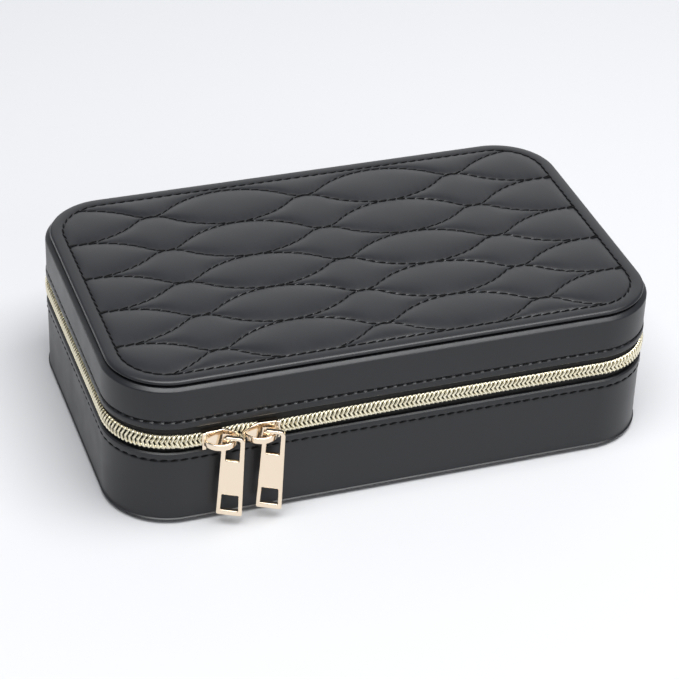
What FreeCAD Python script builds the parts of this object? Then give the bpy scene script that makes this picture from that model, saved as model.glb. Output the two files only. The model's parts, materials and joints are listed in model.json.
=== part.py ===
# Zip-round leather jewellery case with a quilted lid.
# Millimetres, with the origin at the middle of the underside.
# +X runs to the right along the front, +Y to the back, +Z up.
import FreeCAD
import Part
import math
import os

from FreeCAD import Vector

os.makedirs("parts", exist_ok=True)

# Outside of the case
case_length = 220.0
case_depth = 138.0
corner_radius = 26.0
leather = 1.6
board = 2.4
underside_thickness = 1.6
underside_inset = 2.0
base_lip_z = 32.9
lid_lip_z = 43.5
lid_shoulder_z = 61.6
shoulder_ease = 1.2
base_board_top_z = 31.8
lid_board_low_z = 44.8
clearance = 0.2

# Zip: chain of two slanted rows of teeth on two tapes
zip_z = 37.9
tape_inset = leather
tape_thickness = 0.6
tape_tuck = 4.2
tape_edge = 1.2
tooth_pitch = 1.93
tooth_width = 1.6
tooth_reach = 3.1
tooth_slant = 0.9
tooth_gap = 0.06
tooth_proud = 0.3
zip_end_angle = 50.0
rows_parted = 0.7

# Sliders and their pulls
slider_length = 14.5
left_slider_x = -71.05
right_slider_x = -55.35
slider_half_narrow = 3.95
slider_half_wide = 4.6
slider_plate = 1.0
slider_face = 1.6
slider_wall = 0.6
slider_nose = 3.85
slider_nose_flat = 1.4
slider_nose_bulge = (1.0, 3.5)
wedge_half = 0.5
wedge_tip = -0.5
wedge_shoulder = 4.0
wedge_end = 6.95
bail_radius = 7.0
bail_strap = 1.1
bail_height = 2.6
bail_z = 37.6
bail_centre_depth = 0.9
pull_offset = 3.6
pull_yaw = 24.0
pull_thickness = 1.4
pull_top_z = 40.9
pull_bottom_z = 4.6
pull_top_width = 7.8
pull_bottom_width = 9.9
pull_top_round = 2.0
pull_bottom_round = 0.8
pull_bevel = 0.3
pull_play = 0.75
bail_window_half = (2.65, 2.6)
bail_window_low_z = 30.2
end_window_half = (3.4, 3.2)
end_window_z = (6.8, 14.2)

# Quilted top panel
panel_inset = 1.7
panel_edge_z = 64.4
panel_crown_z = 65.6
panel_edge_ease = 1.1
border_width = 5.4
border_slope = 2.2
quilt_period = 65.0
quilt_row = 24.6
quilt_sharp_run = 7.0
quilt_shift_x = -0.8
quilt_shift_y = -1.9
quilt_rows = 5
quilt_crests = range(-2, 2)
channel_depth = 1.4
channel_width = 2.4

# Inside
neck_inset = 5.1
neck_wall = 1.5
neck_top_z = 44.0
liner_floor = 1.0
lining = 0.6
lining_low_z = 45.5
divider_thickness = 2.4
divider_round = 1.0
divider_top_z = 40.0
short_divider_top_z = 37.0
ring_section_right = -34.0
ring_pad_play = 0.4
ring_pad_top_z = 25.0
ring_roll_count = 7
ring_roll_radius = 8.3
ring_roll_play = 0.6
ring_roll_end_play = 1.0
ring_roll_sunk = 1.2
pocket_half = 92.0
pocket_front_y = 4.0
pocket_back_y = 57.0
pocket_thickness = 3.2
pocket_edge_round = 1.2
elastic_radius = 1.7
strap_count = 5
strap_spacing = 36.0
strap_size = (9.0, 20.0, 1.2)
strap_front_y = -52.0
stud_radius = 2.7
stud_height = 1.6
stud_from_end = 5.0

# Values worked out from those above
front_y = -case_depth / 2
back_y = case_depth / 2
base_floor_z = underside_thickness + board
liner_floor_z = base_floor_z + liner_floor
rebate = tape_inset + tape_thickness + clearance / 2
inner_inset = leather + board
cavity_inset = neck_inset + neck_wall
half_length = case_length / 2
straight_x = half_length - corner_radius
straight_y = back_y - corner_radius
fold_gap = 0.15
pocket_z = lid_shoulder_z - board - lining


# Rounded rectangle of the case at a given inset and height
def outline(inset, z):
    half_x = half_length - inset
    half_y = back_y - inset
    radius = corner_radius - inset
    corner = radius * math.sqrt(0.5)
    edges = []
    for turn_x, turn_y in ((1, 1), (-1, 1), (-1, -1), (1, -1)):
        cx = turn_x * straight_x
        cy = turn_y * straight_y
        side = Vector(turn_x * half_x, cy, z)
        end = Vector(cx, turn_y * half_y, z)
        middle = Vector(cx + turn_x * corner, cy + turn_y * corner, z)
        first, last = (side, end) if turn_x == turn_y else (end, side)
        edges.append((first, middle, last))
    wire = []
    for i, (first, middle, last) in enumerate(edges):
        wire.append(Part.Arc(first, middle, last).toShape())
        wire.append(Part.LineSegment(last, edges[(i + 1) % 4][0]).toShape())
    return Part.Wire(wire)


def plate(inset, low, high):
    return Part.Face(outline(inset, low)).extrude(Vector(0, 0, high - low))


def ring(outer, inner, low, high):
    return plate(outer, low, high).cut(plate(inner, low, high))


def edges_at(shape, z):
    flat = []
    for edge in shape.Edges:
        box = edge.BoundBox
        if abs(box.ZMin - z) < 1e-4 and abs(box.ZMax - z) < 1e-4:
            flat.append(edge)
    return flat


def rounded_at(shape, z, radius):
    return shape.makeFillet(radius, edges_at(shape, z))


def eased_at(shape, z, size):
    return shape.makeChamfer(size, edges_at(shape, z))


def block(low, high):
    size = [b - a for a, b in zip(low, high)]
    return Part.makeBox(*size, Vector(*low))


def prism(points, direction):
    return Part.Face(Part.makePolygon(points + points[:1])).extrude(direction)


def save(name, *shapes):
    shape = shapes[0] if len(shapes) == 1 else Part.makeCompound(list(shapes))
    shape.exportStep("parts/" + name + ".step")


# Base: underside panel, board tray, leather band and the lined inner tray
def base_bottom_panel():
    return plate(underside_inset, 0, underside_thickness)


def base_shell():
    body = plate(leather, underside_thickness, base_board_top_z)
    body = body.cut(plate(inner_inset, base_floor_z, base_lip_z))
    return body.cut(ring(leather, rebate, base_lip_z - tape_tuck, base_lip_z))


def base_side_leather():
    body = eased_at(plate(0, underside_thickness, base_lip_z), underside_thickness, shoulder_ease)
    return body.cut(plate(leather, underside_thickness, base_lip_z))


def base_liner():
    body = plate(inner_inset, base_floor_z, base_board_top_z)
    body = body.fuse(plate(neck_inset, base_board_top_z, neck_top_z))
    return body.cut(plate(cavity_inset, liner_floor_z, neck_top_z))


# Lid: board tray turned over, leather band and lining
def lid_shell():
    body = plate(leather, lid_board_low_z, lid_shoulder_z)
    body = body.cut(plate(inner_inset, lid_lip_z, lid_shoulder_z - board))
    return body.cut(ring(leather, rebate, lid_lip_z, lid_lip_z + tape_tuck))


def lid_side_leather():
    body = eased_at(plate(0, lid_lip_z, lid_shoulder_z), lid_shoulder_z, shoulder_ease)
    return body.cut(plate(leather, lid_lip_z, lid_shoulder_z))


def lid_lining():
    top = lid_shoulder_z - board
    body = plate(inner_inset, lining_low_z, top)
    return body.cut(plate(inner_inset + lining, lid_lip_z, top - lining))


# One sewn line of the quilting: a wave of tangent arcs, sharp at one crest and wide at the other
def quilt_line(wide_y, sharp_y, z):
    half = quilt_period / 2
    join_y = sharp_y + (wide_y - sharp_y) * quilt_sharp_run / half
    edges = []
    for crest in quilt_crests:
        x = quilt_shift_x + crest * quilt_period
        places = [(x - quilt_sharp_run, join_y), (x, sharp_y), (x + quilt_sharp_run, join_y)]
        places += [(x + half, wide_y), (x + quilt_period - quilt_sharp_run, join_y)]
        spots = [Vector(*place, z) for place in places]
        edges.append(Part.Arc(*spots[:3]).toShape())
        edges.append(Part.Arc(*spots[2:]).toShape())
    return Part.Wire(edges)


def quilt_levels():
    lines = []
    for row in range(quilt_rows):
        sharp_y = quilt_shift_y + (row - (quilt_rows - 1) / 2) * quilt_row
        for side in (-1, 1):
            lines.append((sharp_y + side * quilt_row / 2, sharp_y))
    return lines


# Crowned panel with a plain rolled border, a sewn line round it and V channels along the quilting
def quilted_top_panel():
    border = eased_at(plate(panel_inset, lid_shoulder_z, panel_edge_z), panel_edge_z, panel_edge_ease)
    field_inset = panel_inset + border_width
    low = panel_edge_z - channel_depth
    field = plate(field_inset - border_slope, low, panel_crown_z)
    field = eased_at(field, panel_crown_z, border_slope)
    border = border.cut(plate(field_inset - border_slope, low, panel_edge_z))
    channel_bottom = panel_crown_z - channel_depth
    for wide_y, sharp_y in quilt_levels():
        path = quilt_line(wide_y, sharp_y, channel_bottom)
        first = path.Edges[0]
        start = first.valueAt(first.FirstParameter)
        across = first.tangentAt(first.FirstParameter).cross(Vector(0, 0, channel_width / 2))
        rise = Vector(0, 0, channel_depth)
        section = Part.makePolygon([start, start + across + rise, start - across + rise, start])
        field = field.cut(path.makePipeShell([section], True, False))
    return border.fuse(field)


# Zip path along the case's outside, from the back left corner round the front to the back right corner
def zip_stretches():
    lead = corner_radius * math.radians(zip_end_angle)
    quarter = corner_radius * math.pi / 2
    return [
        ("arc", (-straight_x, straight_y), 180 - zip_end_angle, lead),
        ("line", (-half_length, straight_y), (0, -1), 2 * straight_y),
        ("arc", (-straight_x, -straight_y), 180, quarter),
        ("line", (-straight_x, front_y), (1, 0), 2 * straight_x),
        ("arc", (straight_x, -straight_y), 270, quarter),
        ("line", (half_length, -straight_y), (0, 1), 2 * straight_y),
        ("arc", (straight_x, straight_y), 0, lead),
    ]


def zip_place(distance):
    for kind, place, heading, length in zip_stretches():
        if distance <= length:
            break
        distance -= length
    if kind == "line":
        x = place[0] + heading[0] * distance
        y = place[1] + heading[1] * distance
        return Vector(x, y, 0), Vector(*heading, 0), Vector(heading[1], -heading[0], 0)
    angle = math.radians(heading) + distance / corner_radius
    out = Vector(math.cos(angle), math.sin(angle), 0)
    along = Vector(-math.sin(angle), math.cos(angle), 0)
    return Vector(*place, 0) + out * corner_radius, along, out


# The rows run apart inside the sliders and between them
def parting(point):
    if point.y > front_y + 0.01:
        return 0.0
    left_end = left_slider_x - slider_length / 2
    right_end = right_slider_x + slider_length / 2
    from_end = min(point.x - left_end, right_end - point.x)
    return rows_parted * min(max(from_end / slider_length, 0.0), 1.0)


# Slanted ridges, one for each turn of the coil
def zip_teeth(side):
    length = sum(stretch[3] for stretch in zip_stretches())
    count = int(length / tooth_pitch)
    teeth = []
    for i in range(count):
        point, along, out = zip_place((i + 0.5) * length / count)
        near = Vector(0, 0, zip_z + side * (tooth_gap + parting(point)))
        start = point - along * (tooth_slant / 2) + near
        foot = start - out * tape_inset
        half = along * (tooth_width / 2)
        section = [foot - half, foot + half, start + out * tooth_proud]
        teeth.append(prism(section, along * tooth_slant + Vector(0, 0, side * (tooth_reach - tooth_gap))))
    return teeth


# Everything in front of the line where the zip ends and the leather hinge begins
def zip_side():
    end_y = straight_y + corner_radius * math.sin(math.radians(zip_end_angle))
    return block((-case_length, -case_depth, -1), (case_length, end_y, 2 * panel_crown_z))


def zip_tape(low, high):
    return ring(tape_inset, tape_inset + tape_thickness, low, high).common(zip_side())


def hinge_strip(low, high):
    return ring(tape_inset, tape_inset + tape_thickness, low, high).cut(zip_side())


# Slider: two plates joined by a wedge, with walls that hold the rows in
def slider_outline(centre_x, wide, depth):
    half = slider_length / 2
    shoulder = half - slider_nose
    back, bulge = slider_nose_bulge

    def spot(s, z):
        return Vector(centre_x + wide * s, front_y - depth, zip_z + z)

    def nose(side):
        return spot(shoulder, side * slider_half_wide), spot(half - back, side * bulge)

    tips = spot(half, slider_nose_flat), spot(half, -slider_nose_flat)
    tail = spot(-half, -slider_half_narrow), spot(-half, slider_half_narrow)
    edges = [
        Part.LineSegment(*tail),
        Part.LineSegment(tail[1], nose(1)[0]),
        Part.Arc(*nose(1), tips[0]),
        Part.LineSegment(*tips),
        Part.Arc(tips[1], *reversed(nose(-1))),
        Part.LineSegment(nose(-1)[0], tail[0]),
    ]
    return Part.Wire([edge.toShape() for edge in edges])


def slider_body(centre_x, wide):
    half = slider_length / 2
    inner_face = -(tape_inset + tape_thickness + clearance)
    plate_back = slider_face - slider_plate
    outer = Part.Face(slider_outline(centre_x, wide, plate_back)).extrude(Vector(0, -slider_plate, 0))
    inner = Part.Face(slider_outline(centre_x, wide, inner_face)).extrude(Vector(0, slider_plate, 0))
    body = outer.fuse(inner)

    def spot(s, z):
        return Vector(centre_x + wide * s, front_y - plate_back, zip_z + z)

    shoulder = half - slider_nose
    wall_depth = plate_back + tape_inset - clearance
    for side in (-1, 1):
        wall = [
            spot(-half, side * slider_half_narrow),
            spot(shoulder, side * slider_half_wide),
            spot(shoulder, side * (slider_half_wide - slider_wall)),
            spot(-half, side * (slider_half_narrow - slider_wall)),
        ]
        body = body.fuse(prism(wall, Vector(0, wall_depth, 0)))
    wedge = [spot(wedge_tip, 0)]
    wedge += [spot(s, wedge_half) for s in (wedge_shoulder, wedge_end)]
    wedge += [spot(s, -wedge_half) for s in (wedge_end, wedge_shoulder)]
    body = body.fuse(prism(wedge, Vector(0, plate_back - inner_face, 0)))
    return body.removeSplitter()


# Bow-shaped strap over the slider that the pull hangs from
def slider_bail(centre_x):
    centre = Vector(centre_x, front_y - bail_centre_depth, bail_z - bail_height / 2)
    strap = Part.makeCylinder(bail_radius, bail_height, centre)
    strap = strap.cut(Part.makeCylinder(bail_radius - bail_strap, bail_height, centre))
    keep = block((-half_length, 2 * front_y, 0), (half_length, front_y - slider_face, panel_crown_z))
    return strap.common(keep)


def pull_depth():
    strap_middle = bail_radius - bail_strap / 2
    return bail_centre_depth + math.sqrt(strap_middle ** 2 - pull_offset ** 2)


# Tapering tab with a window for the bail and an open lower end, turned a little away from the wall
def pull_tab(slider_x):
    pivot = Vector(slider_x + pull_offset, front_y - pull_depth(), 0)
    half_top = pull_top_width / 2
    half_bottom = pull_bottom_width / 2

    def tab(points):
        back = pull_thickness / 2
        return prism([Vector(x, back, z) for x, z in points], Vector(0, -pull_thickness, 0))

    def window(halves, low, high):
        wide, narrow = halves
        return tab([(-wide, low), (wide, low), (narrow, high), (-narrow, high)])

    body = tab([
        (-half_bottom, pull_bottom_z), (half_bottom, pull_bottom_z),
        (half_top, pull_top_z), (-half_top, pull_top_z),
    ])
    upright = [e for e in body.Edges if e.BoundBox.ZLength < 1e-4 and e.BoundBox.YLength > 1]
    top = [e for e in upright if e.BoundBox.ZMin > bail_z]
    bottom = [e for e in upright if e.BoundBox.ZMin < bail_z]
    body = body.makeFillet(pull_top_round, top).makeFillet(pull_bottom_round, bottom)
    faces = [e for e in body.Edges if e.BoundBox.YLength < 1e-4]
    body = body.makeChamfer(pull_bevel, faces)
    body = body.cut(window(bail_window_half, bail_window_low_z, bail_z + bail_height / 2 + pull_play))
    body = body.cut(window(end_window_half, *end_window_z))
    body.rotate(Vector(0, 0, 0), Vector(0, 0, 1), -pull_yaw)
    body.translate(pivot)
    return body


# Inside of the base: ring rolls on their pad at the left, partitions at the right
def ring_section():
    return block((-half_length, -case_depth, liner_floor_z), (ring_section_right, case_depth, neck_top_z))


def ring_pad():
    body = plate(cavity_inset + ring_pad_play, liner_floor_z, ring_pad_top_z)
    return body.common(ring_section())


# The end rolls are shorter, for the round corners
def ring_rolls():
    pitch = 2 * (back_y - cavity_inset - ring_roll_play) / ring_roll_count
    middle_z = ring_pad_top_z + ring_roll_radius - ring_roll_sunk
    right_x = ring_section_right - ring_roll_end_play
    inner_radius = corner_radius - cavity_inset - ring_roll_end_play
    pad_top = block((-half_length, -case_depth, ring_pad_top_z), (0, case_depth, 2 * neck_top_z))
    rolls = []
    for i in range(ring_roll_count):
        y = (i - (ring_roll_count - 1) / 2) * pitch
        into_corner = max(abs(y) + ring_roll_radius - straight_y, 0)
        left_x = -straight_x - math.sqrt(inner_radius ** 2 - into_corner ** 2)
        left = Vector(left_x, y, middle_z)
        roll = Part.makeCylinder(ring_roll_radius, right_x - left_x, left, Vector(1, 0, 0))
        rolls.append(roll.common(pad_top))
    return rolls


def partition(low, high, top_z):
    body = block((low[0], low[1], liner_floor_z), (high[0], high[1], top_z))
    return rounded_at(body, top_z, divider_round)


def partitions():
    room_x = half_length - cavity_inset - clearance
    room_y = back_y - cavity_inset - clearance
    thick = divider_thickness
    section = ring_section_right + clearance
    right = section + thick + clearance
    third = (room_x - right - 2 * thick) / 3
    made = {"ring_section_wall": partition((section, -room_y), (section + thick, room_y), divider_top_z)}
    made["long_divider"] = partition((right, 0), (room_x, thick), divider_top_z)
    for name, number in (("front_left_divider", 1), ("front_right_divider", 2)):
        x = right + number * third + (number - 1) * thick
        made[name] = partition((x, -room_y), (x + thick, -clearance), short_divider_top_z)
    middle = (right + room_x - thick) / 2
    back = (middle, thick + clearance), (middle + thick, room_y)
    made["back_divider"] = partition(*back, short_divider_top_z)
    return made


# Inside of the lid: gathered pocket with its elastic edge, and snap straps for necklaces
def lid_pocket():
    low = (-pocket_half, pocket_front_y, pocket_z - pocket_thickness)
    body = block(low, (pocket_half, pocket_back_y, pocket_z))
    return rounded_at(body, low[2], pocket_edge_round)


def pocket_elastic():
    start = Vector(-pocket_half, pocket_front_y - elastic_radius, pocket_z - elastic_radius)
    return Part.makeCylinder(elastic_radius, 2 * pocket_half, start, Vector(1, 0, 0))


def strap_places():
    return [(i - (strap_count - 1) / 2) * strap_spacing for i in range(strap_count)]


def necklace_straps():
    width, length, thick = strap_size
    straps = []
    for x in strap_places():
        low = (x - width / 2, strap_front_y, pocket_z - thick)
        straps.append(block(low, (x + width / 2, strap_front_y + length, pocket_z)))
    return straps


def snap_studs():
    studs = []
    width, length, thick = strap_size
    for x in strap_places():
        centre = Vector(x, strap_front_y + length - stud_from_end, pocket_z - thick - stud_height)
        studs.append(Part.makeCylinder(stud_radius, stud_height, centre))
    return studs


save("base_bottom_panel", base_bottom_panel())
save("base_shell", base_shell())
save("base_side_leather", base_side_leather())
save("base_liner", base_liner())
save("lower_zip_tape", zip_tape(base_lip_z - tape_tuck + clearance, zip_z - tape_edge))
save("lower_zip_teeth", *zip_teeth(-1))
save("hinge_strip_lower", hinge_strip(base_lip_z - tape_tuck + clearance, zip_z - fold_gap))
save("ring_pad", ring_pad())
save("ring_rolls", *ring_rolls())
for node, shape in partitions().items():
    save(node, shape)
save("lid_shell", lid_shell())
save("lid_side_leather", lid_side_leather())
save("quilted_top_panel", quilted_top_panel())
save("lid_lining", lid_lining())
save("upper_zip_tape", zip_tape(zip_z + tape_edge, lid_lip_z + tape_tuck - clearance))
save("upper_zip_teeth", *zip_teeth(1))
save("hinge_strip_upper", hinge_strip(zip_z + fold_gap, lid_lip_z + tape_tuck - clearance))
save("lid_pocket", lid_pocket())
save("pocket_elastic", pocket_elastic())
save("necklace_straps", *necklace_straps())
save("snap_studs", *snap_studs())
save("left_slider_body", slider_body(left_slider_x, 1))
save("right_slider_body", slider_body(right_slider_x, -1))
save("left_slider_bail", slider_bail(left_slider_x))
save("right_slider_bail", slider_bail(right_slider_x))
save("left_pull_tab", pull_tab(left_slider_x))
save("right_pull_tab", pull_tab(right_slider_x))
print("pull pivots at x", left_slider_x + pull_offset, right_slider_x + pull_offset, "depth", pull_depth())
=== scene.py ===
# %% [markdown]
# # A zip-round leather jewellery case
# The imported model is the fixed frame: it says how large the case is, where every piece sits and what moves.
# This lesson dresses it: leather, sewing, a coil zip, polished sliders and a velvet inside.

# %% Load the frame
import json
import math

import bmesh
import bpy
import numpy as np
from mathutils import Matrix, Vector, noise


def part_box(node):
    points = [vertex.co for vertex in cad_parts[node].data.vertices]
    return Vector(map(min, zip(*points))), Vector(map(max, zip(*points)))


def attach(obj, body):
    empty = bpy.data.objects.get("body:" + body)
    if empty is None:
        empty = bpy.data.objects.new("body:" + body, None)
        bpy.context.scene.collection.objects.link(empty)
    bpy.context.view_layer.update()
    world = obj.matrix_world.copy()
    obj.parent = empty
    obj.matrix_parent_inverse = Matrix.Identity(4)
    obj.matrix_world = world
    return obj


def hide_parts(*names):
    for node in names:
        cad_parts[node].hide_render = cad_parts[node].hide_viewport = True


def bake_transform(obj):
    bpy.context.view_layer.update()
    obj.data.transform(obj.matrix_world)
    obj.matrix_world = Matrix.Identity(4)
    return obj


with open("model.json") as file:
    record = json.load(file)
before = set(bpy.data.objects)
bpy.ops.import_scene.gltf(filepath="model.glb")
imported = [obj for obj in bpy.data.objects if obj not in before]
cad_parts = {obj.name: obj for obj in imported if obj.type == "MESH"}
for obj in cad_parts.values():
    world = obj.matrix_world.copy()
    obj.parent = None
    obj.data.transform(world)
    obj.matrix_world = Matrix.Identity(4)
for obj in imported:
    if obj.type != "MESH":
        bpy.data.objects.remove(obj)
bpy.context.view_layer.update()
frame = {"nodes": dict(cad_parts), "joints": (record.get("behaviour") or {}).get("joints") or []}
scene = bpy.context.scene
mm = 0.001

# %% [markdown]
# ## Sizes that come from the frame
# Most places can be read from the boxes of the frame's nodes, so a change of the frame moves the looks with
# it. Only what a box can't tell, such as a corner's radius or a stitch's length, is written as a number.

# %% Sizes of the case
band_low, band_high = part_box("lid_side_leather")
base_low, base_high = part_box("base_side_leather")
panel_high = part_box("quilted_top_panel")[1]
half_length, half_depth = band_high.x, band_high.y
front_y = -half_depth
corner_radius = 26 * mm
straight_x = half_length - corner_radius
straight_y = half_depth - corner_radius
lid_lip_z, shoulder_z = band_low.z, band_high.z
base_bottom_z, base_lip_z = base_low.z, base_high.z
panel_inset = half_length - panel_high.x
leather = half_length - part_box("lid_shell")[1].x
zip_z = (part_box("lower_zip_teeth")[1].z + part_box("upper_zip_teeth")[0].z) / 2
print(f"case {2000 * half_length:.0f} x {2000 * half_depth:.0f} x {1000 * panel_high.z:.1f} mm")

# %% [markdown]
# ## Camera, floor and light
# The camera comes first, because everything else is judged through it. Its place was worked out from the
# photograph's perspective: a long lens, a metre away, looking down from the front left, a little rolled.
# A sheet of matt white paper makes the floor, which the eye sees as an even pale grey with soft shadows.
# The soft box overhead draws the light lines on the leather's edges. A wide panel behind and a fill in front
# soften the shadows, and a small light low behind the case, at the left, brightens its left walls.

# %% Camera
camera_azimuth = math.radians(-19.897)
camera_elevation = math.radians(34.049)
camera_roll = math.radians(2.278)
camera_distance = 999.986 * mm
camera_aside = 0.588 * mm
camera_raised = 18.968 * mm
picture_side = 679
focal_pixels = 2434


def put(name, data):
    """A new object at the origin that shows a mesh, a curve, a light or a camera."""
    made = bpy.data.objects.new(name, data)
    scene.collection.objects.link(made)
    return made


level = math.cos(camera_elevation)
flat_right = Vector((math.cos(camera_azimuth), math.sin(camera_azimuth), 0))
back = Vector((flat_right.y * level, -flat_right.x * level, math.sin(camera_elevation)))
flat_up = back.cross(flat_right)
right = flat_right * math.cos(camera_roll) + flat_up * math.sin(camera_roll)
up = flat_up * math.cos(camera_roll) - flat_right * math.sin(camera_roll)
lens = bpy.data.cameras.new("camera")
lens.sensor_width = 36
lens.lens = focal_pixels / picture_side * lens.sensor_width
camera = put("camera", lens)
camera.matrix_world = Matrix((right, up, back)).transposed().to_4x4()
camera.location = right * camera_aside + up * camera_raised + back * camera_distance
scene.camera = camera
print("lens", round(lens.lens, 1), "mm")


# %% Colours and nodes
def paint(code, lit=1.0):
    """An sRGB hex value as linear red, green, blue and alpha, made lighter or darker by a factor."""
    parts = [int(code[i:i + 2], 16) / 255 for i in (1, 3, 5)]
    return [lit * (c / 12.92 if c <= 0.04045 else ((c + 0.055) / 1.055) ** 2.4) for c in parts] + [1.0]


def first_output(made):
    """The first output that a node has in use."""
    return next(socket for socket in made.outputs if socket.enabled)


def node(tree, kind, inputs=None, to=None, **settings):
    """Adds a node with its settings. An input is a value, a socket, or a node that gives its first output."""
    made = tree.nodes.new(kind)
    for name, value in settings.items():
        setattr(made, name, value)
    for name, value in (inputs or {}).items():
        if isinstance(value, bpy.types.Node):
            value = first_output(value)
        if isinstance(value, bpy.types.NodeSocket):
            tree.links.new(value, made.inputs[name])
        else:
            made.inputs[name].default_value = value
    if to is not None:
        tree.links.new(first_output(made), to)
    return made


def finish_of(name, **shader):
    """A new material, its tree, its shader's inputs and the coordinates that a pattern can follow."""
    made = bpy.data.materials.new(name)
    made.use_nodes = True
    tree = made.node_tree
    surface = tree.nodes["Principled BSDF"].inputs
    for socket, value in shader.items():
        surface[socket.replace("_", " ")].default_value = value
    print("finish:", name)
    return made, tree, surface, node(tree, "ShaderNodeTexCoord").outputs


# %% Studio
scene.view_settings.view_transform = "Standard"
floor_half = 4.0
floor_mesh = bpy.data.meshes.new("floor")
floor_corners = [(-floor_half, -floor_half, 0), (floor_half, -floor_half, 0),
                 (floor_half, floor_half, 0), (-floor_half, floor_half, 0)]
floor_mesh.from_pydata(floor_corners, [], [(0, 1, 2, 3)])
floor_mesh.materials.append(finish_of("white_backdrop_paper", Base_Color=paint("#c4c5c7"), Roughness=0.9)[0])
floor = put("floor", floor_mesh)

world = bpy.data.worlds.new("studio")
world.use_nodes = True
room = world.node_tree.nodes["Background"].inputs
room["Color"].default_value = paint("#f6f8ff")
room["Strength"].default_value = 0.28
scene.world = world

for name, place, size, power in (
        ("overhead_softbox", (0.05, -0.30, 1.35), (1.6, 0.85), 33.5),
        ("back_panel", (0.5, 1.2, 0.58), (1.7, 1.2), 4.4),
        ("front_fill", (0.5, -1.5, 0.65), (1.6, 0.8), 6.6),
        ("back_left_strip", (-0.92, 1.18, 0.16), (0.3, 0.3), 1.6)):
    lamp = bpy.data.lights.new(name, "AREA")
    lamp.shape = "RECTANGLE"
    lamp.size, lamp.size_y = size
    lamp.energy = power
    light = put(name, lamp)
    light.location = place
    light.rotation_euler = (-Vector(place)).to_track_quat("-Z", "Y").to_euler()
    light.visible_camera = False
    print("light:", name)

# %% [markdown]
# ## Leather finishes
# The case is covered in coated leather: split leather with a smooth, satin polymer skin. The eye sees a
# nearly black, slightly cool surface with soft broad highlights, a fine pebble grain close up, and faint
# unevenness of the hide. Noise varies the shade and the roughness, and a fine cell pattern gives the grain
# as bump. A picture of leather would do it too, but a pattern made from sizes fits every piece and repeats
# nowhere.


# %% Leather
def leather_finish(name, colour, dull, grain_mm, grain_depth):
    """Slow blotches change shade and gloss a little, and small cells give the grain."""
    made, tree, surface, coords = finish_of(name, Roughness=dull, IOR=1.46)
    place = coords["Object"]
    blotch = node(tree, "ShaderNodeTexNoise", {"Vector": place, "Scale": 1 / (14 * mm), "Detail": 3.0})
    node(tree, "ShaderNodeMix", {"Factor": blotch, "A": paint(colour), "B": paint(colour, 1.35)},
         surface["Base Color"], data_type="RGBA")
    node(tree, "ShaderNodeMapRange", {
        "Value": blotch, "From Min": 0.3, "From Max": 0.7, "To Min": dull - 0.04, "To Max": dull + 0.04},
        surface["Roughness"])
    grain = node(tree, "ShaderNodeTexVoronoi", {"Vector": place, "Scale": 1 / (grain_mm * mm)},
                 feature="SMOOTH_F1")
    node(tree, "ShaderNodeBump", {"Height": grain, "Strength": grain_depth, "Distance": 0.05 * mm},
         surface["Normal"])
    return made


black_leather = leather_finish("coated_black_leather", "#18191c", 0.36, 0.45, 0.25)
hinge_leather = leather_finish("soft_black_leather_strip", "#161718", 0.5, 0.7, 0.5)
underside_leather = leather_finish("grained_black_leatherette", "#1b1c1d", 0.55, 1.1, 0.8)

# %% [markdown]
# ## Walking round the case
# Bands, tapes, sewn rows and the zip all follow the same rounded rectangle. One function walks along it and
# gives the place and the outward direction at any distance, so a profile of insets and heights can be swept
# round the case. A curve with a bevel shape would do it too, but it can't change the profile from stitch to
# stitch.

# %% A walk round the case
quarter = corner_radius * math.pi / 2
stretches = [
    ("line", (0, half_depth), (-1, 0), straight_x),
    ("arc", (-straight_x, straight_y), 90, quarter),
    ("line", (-half_length, straight_y), (0, -1), 2 * straight_y),
    ("arc", (-straight_x, -straight_y), 180, quarter),
    ("line", (-straight_x, front_y), (1, 0), 2 * straight_x),
    ("arc", (straight_x, -straight_y), 270, quarter),
    ("line", (half_length, -straight_y), (0, 1), 2 * straight_y),
    ("arc", (straight_x, straight_y), 0, quarter),
    ("line", (straight_x, half_depth), (-1, 0), straight_x),
]
way_round = sum(stretch[3] for stretch in stretches)


def walk(distance):
    """Place on the outer edge and outward direction, from the middle of the back, left side first."""
    distance = distance % way_round
    for kind, place, heading, length in stretches:
        if distance <= length:
            break
        distance -= length
    if kind == "line":
        spot = (place[0] + heading[0] * distance, place[1] + heading[1] * distance)
        return spot, (heading[1], -heading[0])
    angle = math.radians(heading) + distance / corner_radius
    out = (math.cos(angle), math.sin(angle))
    return (place[0] + out[0] * corner_radius, place[1] + out[1] * corner_radius), out


print(f"way round the case {1000 * way_round:.1f} mm")


# %% Outlines and grids
def rounded(points, steps=5):
    """A closed outline of (across, height, radius) corners, with its corners drawn as arcs."""
    outline = []
    for i, (u, v, radius) in enumerate(points):
        here = Vector((u, v))
        if radius == 0:
            outline.append(here)
            continue
        before = (Vector(points[i - 1][:2]) - here).normalized()
        after = (Vector(points[(i + 1) % len(points)][:2]) - here).normalized()
        half = before.angle(after) / 2
        centre = here + (before + after).normalized() * (radius / math.sin(half))
        first = here + before * (radius / math.tan(half)) - centre
        last = here + after * (radius / math.tan(half)) - centre
        for step in range(steps + 1):
            outline.append(centre + first.slerp(last, step / steps).normalized() * radius)
    return np.array([tuple(p) for p in outline])


def grid_faces(rows, columns, wrap_rows, wrap_columns):
    """Four-cornered faces of a grid of points, numbered row by row."""
    r = np.arange(rows if wrap_rows else rows - 1)
    c = np.arange(columns if wrap_columns else columns - 1)
    r, c = np.meshgrid(r, c, indexing="ij")
    down, across = (r + 1) % rows, (c + 1) % columns
    corners = (r * columns + c, r * columns + across, down * columns + across, down * columns + c)
    return np.stack(corners, axis=-1).reshape(-1, 4)


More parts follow.
